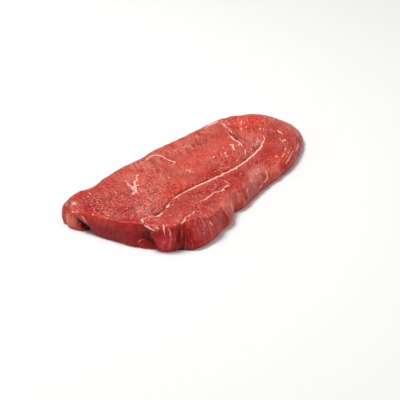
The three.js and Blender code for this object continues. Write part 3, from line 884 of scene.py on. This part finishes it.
def tints_at(places, wall):
    """The base colour of each point. wall is 1 on the side and 0 on the cut faces."""
    lean, side = linear(COLOURS["lean"]), linear(COLOURS["wall"])
    colour = lean + (side - lean) * wall[:, None]
    for _, middle, reach, name, amount in TINTS:
        far = np.linalg.norm((places - middle) / reach, axis=1)
        share = (bell(far) * amount)[:, None]
        colour += (linear(COLOURS[name]) - colour) * share
    return colour


def add_relief(places, normals, surface):
    """The points moved out or in by the fine relief, and what the material needs of it."""
    x, y, z = places.T
    up = normals[:, 2]
    gaps = np.hypot(x[:, None] - RING[::4, 0], y[:, None] - RING[::4, 1])
    near = np.argmin(gaps, 1)
    ragged = up + 0.2 * noise_at(places, 5, 41.3)
    for middle_x, middle_y, reach, amount in RIM_SHIFTS:
        ragged += amount * bell(np.hypot(x - middle_x, y - middle_y) / reach)
    cut = smooth_step(ragged, 0.5, 0.85)  # 1 on the cut face, 0 on the side
    inside = gaps.min(1) + 3 * noise_at(places, 6, 59.3)
    cut *= smooth_step(inside, 1.5, 4)
    under = smooth_step(-up, 0.3, 0.7) * smooth_step(z, 3, 1)
    wall = 1 - np.maximum(cut, under)
    grained, gritty = textures_at(x, y)
    fibre, side_place = along_fibres(places), along_side(places, wall)
    height = 0.3 * noise_at(places, 21, 3.1) + 0.2 * noise_at(places, 8.5, 5.7)
    height += cut * grained * 0.3 * noise_at(fibre, np.array([13, 3.2, 9]), 7.3)
    height += cut * gritty * 0.32 * noise_at(places, 3.6, 11.9)
    height += wall * 0.5 * noise_at(side_place, np.array([4, 9, 20]), 13.3)
    height += wall * 0.35 * noise_at(places, np.array([8, 8, 18]), 17.9)
    height += wall * 0.2 * noise_at(places, 3.4, 19.3)
    # Painted shade in the folds of the side: the deeper the fold, the darker.
    folded = smooth_step(fold_depth(ALONG[::4][near], z), 1.5, 6.5) * wall
    fat, dark, lines = lay_lines(places, normals, surface)
    gap, side, along = near_line(places[:, :2], SEAM_CURVE)
    # The narrow valley beside the seam: dented, and darkened as painted shade.
    beside = bell((gap * side - 2.2) / 1.2) * smooth_step(np.minimum(along, 1 - along), 0, 0.2)
    height += cut * (lines - 0.45 * beside)
    height += wall * lines
    height *= 1 - under
    moved = places + normals * height[:, None]
    moved[:, 2] = np.maximum(moved[:, 2], 0)
    colour = tints_at(places, wall)
    front = smooth_step(-y, 36, 48) * (1 - 0.5 * smooth_step(x, 0, 40))
    # Painted shade: the dark of slits and clefts, the valley beside the seam and the folds of the side.
    shade = np.clip(dark + 0.5 * beside * cut + 0.4 * folded, 0, 1)
    values = {
        "fat": fat, "shade": shade, "wall": wall,
        "grained": grained * cut, "gritty": gritty * cut,
        "streaked": wall * (0.15 + 0.85 * front),
    }
    vectors = {"fibre": fibre, "side": side_place}
    return moved, values, colour, vectors


def store(mesh, name, kind, field, values):
    """Keeps a value of each point on the mesh, for the material."""
    attribute = mesh.attributes.new(name, kind, "POINT")
    attribute.data.foreach_set(field, values.astype(np.float32).ravel())


def make_steak():
    mesh = even_mesh(slice_mesh(slice_rows()))
    count = len(mesh.vertices)
    places = np.zeros(count * 3)
    mesh.vertices.foreach_get("co", places)
    normals = np.zeros(count * 3)
    mesh.vertices.foreach_get("normal", normals)
    places, normals = places.reshape(-1, 3) / MM, normals.reshape(-1, 3)
    surface = BVHTree.FromPolygons(places.tolist(), [face.vertices[:] for face in mesh.polygons])
    moved, values, colour, vectors = add_relief(places, normals, surface)
    mesh.vertices.foreach_set("co", (moved * MM).ravel())
    for name, value in values.items():
        store(mesh, name, "FLOAT", "value", value)
    for name, vector in vectors.items():
        store(mesh, name, "FLOAT_VECTOR", "vector", vector * MM)
    store(mesh, "tint", "FLOAT_COLOR", "color", np.column_stack([colour, np.ones(count)]))
    mesh.polygons.foreach_set("use_smooth", np.ones(len(mesh.polygons), bool))
    mesh.update()
    steak = bpy.data.objects.new("raw_steak", mesh)
    bpy.context.scene.collection.objects.link(steak)
    return steak


# -------------------------------------------------------------------- material

def add_node(tree, kind, inputs, **settings):
    """A node with these settings. An input is a plain value or another node's output."""
    made = tree.nodes.new(kind)
    for name, value in settings.items():
        setattr(made, name, value)
    for key, value in inputs.items():
        if isinstance(value, bpy.types.NodeSocket):
            tree.links.new(value, made.inputs[key])
        else:
            made.inputs[key].default_value = value
    return made


def meat_material():
    material = bpy.data.materials.new("raw beef")
    material.use_nodes = True
    tree = material.node_tree
    tree.nodes.clear()

    def attribute(name, output="Fac"):
        return add_node(tree, "ShaderNodeAttribute", {}, attribute_name=name).outputs[output]

    def calculate(operation, a, b):
        return add_node(tree, "ShaderNodeMath", {0: a, 1: b}, operation=operation).outputs[0]

    def times(a, b):
        return calculate("MULTIPLY", a, b)

    def plus(a, b):
        return calculate("ADD", a, b)

    def ramp(value, low, high, to_low=0.0, to_high=1.0):
        inputs = {
            "Value": value, "From Min": low, "From Max": high,
            "To Min": to_low, "To Max": to_high,
        }
        kind = "ShaderNodeMapRange"
        return add_node(tree, kind, inputs, interpolation_type="SMOOTHSTEP").outputs[0]

    def blend(share, a, b, kind="MIX"):
        inputs = {0: share, 6: a, 7: b}
        settings = {"data_type": "RGBA", "blend_type": kind}
        return add_node(tree, "ShaderNodeMix", inputs, **settings).outputs[2]

    def colour(name):
        return (*linear(COLOURS[name]), 1)

    def over(below, share, amount, name):
        """A colour with that much of a named one laid over it."""
        return blend(times(share, amount), below, colour(name))

    def random(size, where=None, detail=2.0, roughness=0.55, seed=0):
        """Noise from 0 to 1 in lumps of this size in mm."""
        scale = tuple(1 / (MM * side) for side in size)
        inputs = {"Vector": where or place, "Scale": scale, "Location": (seed, seed, seed)}
        scaled = add_node(tree, "ShaderNodeMapping", inputs).outputs[0]
        inputs = {"Vector": scaled, "Scale": 1.0, "Detail": detail, "Roughness": roughness}
        return add_node(tree, "ShaderNodeTexNoise", inputs).outputs["Fac"]

    def swing(value, amount):
        """How far a noise is from its middle, times an amount."""
        return times(calculate("SUBTRACT", value, 0.5), amount)

    place = add_node(tree, "ShaderNodeTexCoord", {}).outputs["Object"]
    fibre, side = attribute("fibre", "Vector"), attribute("side", "Vector")
    wall, streaked = attribute("wall"), attribute("streaked")
    grained, gritty = attribute("grained"), attribute("gritty")

    strands = random((12, 1.5, 8), fibre, roughness=0.6)
    broad = random((34, 7, 20), fibre, detail=1.0)
    upright = random((2.6, 9, 18), side, roughness=0.6)
    grain = random((3.0, 3.0, 3.0), detail=4.0, roughness=0.75)
    patch = random((15, 15, 15), detail=3.0, seed=3.7)
    gather = ramp(random((22, 22, 22), seed=7.9), 0.38, 0.62, 0.45, 1.35)
    flat = calculate("SUBTRACT", 1.0, wall)

    streaked = times(streaked, ramp(patch, 0.4, 0.6, 0.55, 1.1))
    grained = times(grained, gather)
    gritty = times(gritty, gather)
    tone = swing(strands, times(grained, 5.5))
    tone = plus(tone, swing(broad, times(grained, 2.0)))
    tone = plus(tone, swing(grain, times(gritty, 6.5)))
    tone = plus(tone, swing(upright, times(streaked, 3.4)))
    tone = plus(tone, swing(grain, times(wall, 3.0)))
    tone = plus(tone, swing(patch, 2.2))
    light = ramp(tone, -1.2, 1.2)
    gain = blend(light, (0.68, 0.24, 0.2, 1), (1.28, 1.85, 1.9, 1))
    base = blend(1.0, attribute("tint", "Color"), gain, "MULTIPLY")
    mood = ramp(random((19, 19, 19), detail=3.0, seed=11.3), 0.36, 0.64)
    shift = blend(mood, (1.04, 0.76, 0.68, 1), (0.97, 1.2, 1.28, 1))
    base = blend(1.0, base, shift, "MULTIPLY")

    dots = random((1.9, 1.9, 1.9), roughness=0.6)
    marked = plus(gritty, times(wall, 0.1))
    bare = plus(times(flat, 0.06), 0.04)
    # Specks: painted glints of the wet surface and tiny fat flecks, most where the cut face is gritty.
    specks = times(ramp(dots, 0.53, 0.66), plus(gritty, bare))
    base = over(base, specks, 0.7, "fleck_and_glint")
    # Pores: painted shade in small pits of the cut face.
    holes = random((1.7, 1.7, 1.7), roughness=0.6, seed=5.3)
    pores = times(ramp(holes, 0.44, 0.31), plus(marked, 0.2))
    base = over(base, pores, 0.95, "crevice_shade")

    # Streaks up the side: lit is a painted highlight on the ridges, over pale fibre streaks, and dim is
    # painted shade between them.
    reeds = random((2.1, 9, 13), side, detail=1.0, seed=9.1)
    lit = times(ramp(reeds, 0.54, 0.68), streaked)
    base = over(base, lit, 0.45, "pale_and_lit")
    dim = times(ramp(reeds, 0.46, 0.34), streaked)
    base = over(base, dim, 0.35, "crevice_shade")

    fleck = random((9, 1.0, 4), fibre, detail=1.0)
    rare = ramp(random((18, 18, 18), detail=1.0, seed=2.1), 0.44, 0.6)
    flecks = times(times(ramp(fleck, 0.62, 0.7), rare), flat)
    base = over(base, flecks, 0.7, "fleck_and_glint")

    # Painted shade: where the shade value is high the colour turns deep dark red.
    base = over(base, attribute("shade"), 0.85, "deep")
    ragged = plus(attribute("fat"), times(dots, 0.6))
    fat = ramp(ragged, 0.72, 0.95)
    base = blend(fat, base, colour("fat"))

    rough = ramp(grain, 0.35, 0.65, 0.25, 0.45)
    bump = plus(times(tone, 0.25), times(dots, 0.45))
    inputs = {"Strength": 0.7, "Distance": 0.8 * MM, "Height": bump}
    normal = add_node(tree, "ShaderNodeBump", inputs).outputs[0]

    surface = add_node(tree, "ShaderNodeBsdfPrincipled", {
        "Base Color": base,
        "Roughness": rough,
        "IOR": 1.34,
        "Specular IOR Level": 0.4,
        "Normal": normal,
        "Subsurface Weight": 0.12,
        "Subsurface Radius": (1.0, 0.25, 0.2),
        "Subsurface Scale": 1.2 * MM,
    })
    output = add_node(tree, "ShaderNodeOutputMaterial", {})
    tree.links.new(surface.outputs[0], output.inputs["Surface"])
    return material


# ------------------------------------------------------- camera, light and floor

def add_camera():
    lens = bpy.data.cameras.new("camera")
    lens.lens = CAMERA_LENS
    lens.clip_end = 20
    camera = bpy.data.objects.new("camera", lens)
    camera.matrix_world = Matrix.Translation(CAMERA_PLACE) @ camera_turn().to_4x4()
    bpy.context.scene.collection.objects.link(camera)
    bpy.context.scene.camera = camera


# Softboxes: name, place, the point it faces, width, height and power in watts.
SOFTBOXES = [
    ("key", (-0.2, 0.5, 1.4), (0, 0, 0), 0.55, 0.55, 20.3),
    ("fill", (0.3, -1.4, 0.9), (0, 0, 0), 0.8, 0.8, 5),
]
WORLD_GREY = 0.32


def add_lights():
    for name, place, target, width, height, power in SOFTBOXES:
        lamp = bpy.data.lights.new(name, "AREA")
        lamp.shape = "RECTANGLE"
        lamp.size, lamp.size_y, lamp.energy = width, height, power
        softbox = bpy.data.objects.new(name, lamp)
        softbox.location = place
        ahead = Vector(target) - Vector(place)
        softbox.rotation_euler = ahead.to_track_quat("-Z", "Y").to_euler()
        bpy.context.scene.collection.objects.link(softbox)
    world = bpy.data.worlds.new("studio")
    world.use_nodes = True
    background = world.node_tree.nodes["Background"]
    background.inputs["Color"].default_value = (WORLD_GREY, WORLD_GREY, WORLD_GREY, 1)
    bpy.context.scene.world = world


FLOOR_SIZE = 12  # metres
FLOOR_DROP = 0.1 * MM  # keeps the floor clear of the flat underside


def add_floor():
    half = FLOOR_SIZE / 2
    corners = [(-half, -half), (half, -half), (half, half), (-half, half)]
    mesh = bpy.data.meshes.new("floor")
    mesh.from_pydata([(x, y, -FLOOR_DROP) for x, y in corners], [], [(0, 1, 2, 3)])
    floor = bpy.data.objects.new("floor", mesh)
    material = bpy.data.materials.new("floor")
    material.use_nodes = True
    surface = material.node_tree.nodes["Principled BSDF"]
    surface.inputs["Base Color"].default_value = (0.86, 0.86, 0.85, 1)
    surface.inputs["Roughness"].default_value = 0.8
    mesh.materials.append(material)
    bpy.context.scene.collection.objects.link(floor)


add_camera()
add_lights()
add_floor()
bpy.context.scene.view_settings.view_transform = "Standard"

steak = make_steak()
steak.data.materials.clear()
steak.data.materials.append(meat_material())
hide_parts("steak")
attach(steak, "root")
